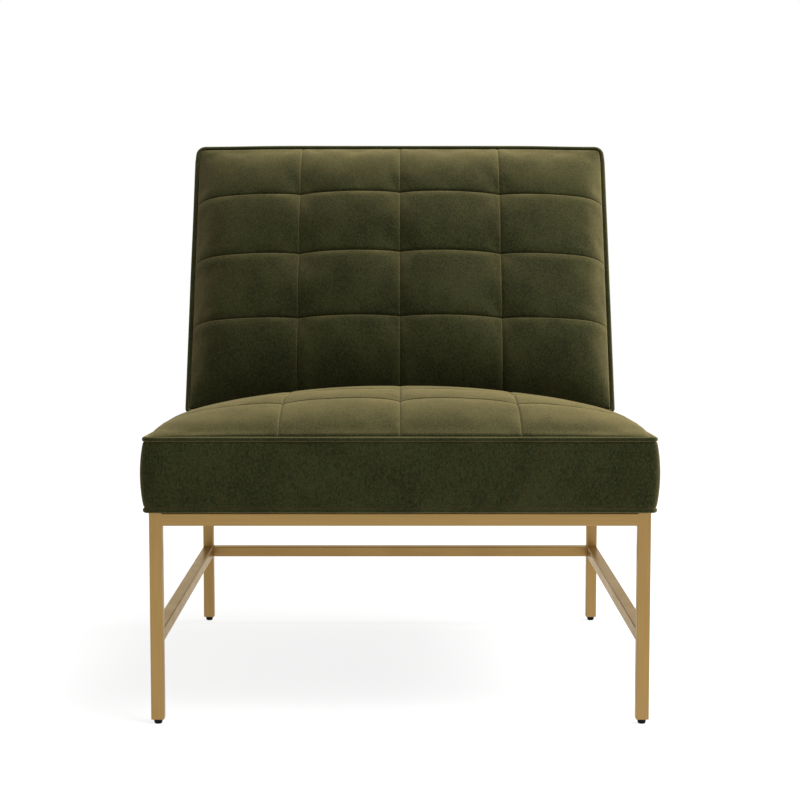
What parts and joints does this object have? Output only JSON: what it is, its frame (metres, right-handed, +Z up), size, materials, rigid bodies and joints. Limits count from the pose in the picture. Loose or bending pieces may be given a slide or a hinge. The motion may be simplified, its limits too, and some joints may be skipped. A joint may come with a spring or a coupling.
{
  "type": "slipper chair",
  "caption": "Armless lounge chair with a biscuit-tufted olive velvet seat and leaning back, corded edges, and a square brass-coloured tube base.",
  "frame": {"origin": "on the floor, under the middle of the chair's bounding box", "axes": "the sitter faces -Y, +X is to the right in the front view, +Z is up"},
  "size_m": [0.7172, 0.8378, 0.8361],
  "materials": {
    "brass_frame": "satin, finely brushed along each tube",
    "velvet": "short cut pile with a soft khaki sheen",
    "welt_velvet": "the same velvet drawn over a cord",
    "plywood": "unfinished, sanded",
    "foam": "matt, open cell",
    "webbing": "woven, matt",
    "dust_cloth": "thin non-woven cloth, matt",
    "glide_plastic": "moulded, matt",
    "screw_steel": "zinc plated"
  },
  "bodies": {
    "root": {"back_boxing": "velvet", "back_cross_strap_1": "webbing", "back_cross_strap_2": "webbing", "back_foam": "foam", "back_front_welt": "welt_velvet", "back_long_strap_1": "webbing", "back_long_strap_2": "webbing", "back_lower_rail": "plywood", "back_rear_panel": "velvet", "back_rear_welt": "welt_velvet", "back_top_rail": "plywood", "back_tufted_cover": "velvet", "dust_cover": "dust_cloth", "front_left_corner_block": "plywood", "front_left_glide": "glide_plastic", "front_left_leg": "brass_frame", "front_left_seat_screw": "screw_steel", "front_left_seat_tab": "brass_frame", "front_rail": "brass_frame", "front_right_corner_block": "plywood", "front_right_glide": "glide_plastic", "front_right_leg": "brass_frame", "front_right_seat_screw": "screw_steel", "front_right_seat_tab": "brass_frame", "front_seat_board": "plywood", "left_side_panel": "plywood", "left_side_rail": "brass_frame", "left_stretcher": "brass_frame", "middle_seat_rail": "plywood", "rear_left_corner_block": "plywood", "rear_left_glide": "glide_plastic", "rear_left_leg": "brass_frame", "rear_left_seat_screw": "screw_steel", "rear_left_seat_tab": "brass_frame", "rear_rail": "brass_frame", "rear_right_corner_block": "plywood", "rear_right_glide": "glide_plastic", "rear_right_leg": "brass_frame", "rear_right_seat_screw": "screw_steel", "rear_right_seat_tab": "brass_frame", "rear_seat_board": "plywood", "rear_stretcher": "brass_frame", "right_side_panel": "plywood", "right_side_rail": "brass_frame", "right_stretcher": "brass_frame", "seat_boxing": "velvet", "seat_cross_strap_1": "webbing", "seat_cross_strap_2": "webbing", "seat_cross_strap_3": "webbing", "seat_foam": "foam", "seat_long_strap_1": "webbing", "seat_long_strap_2": "webbing", "seat_long_strap_3": "webbing", "seat_long_strap_4": "webbing", "seat_lower_welt": "welt_velvet", "seat_tufted_cover": "velvet", "seat_upper_welt": "welt_velvet"}
  },
  "joints": []
}
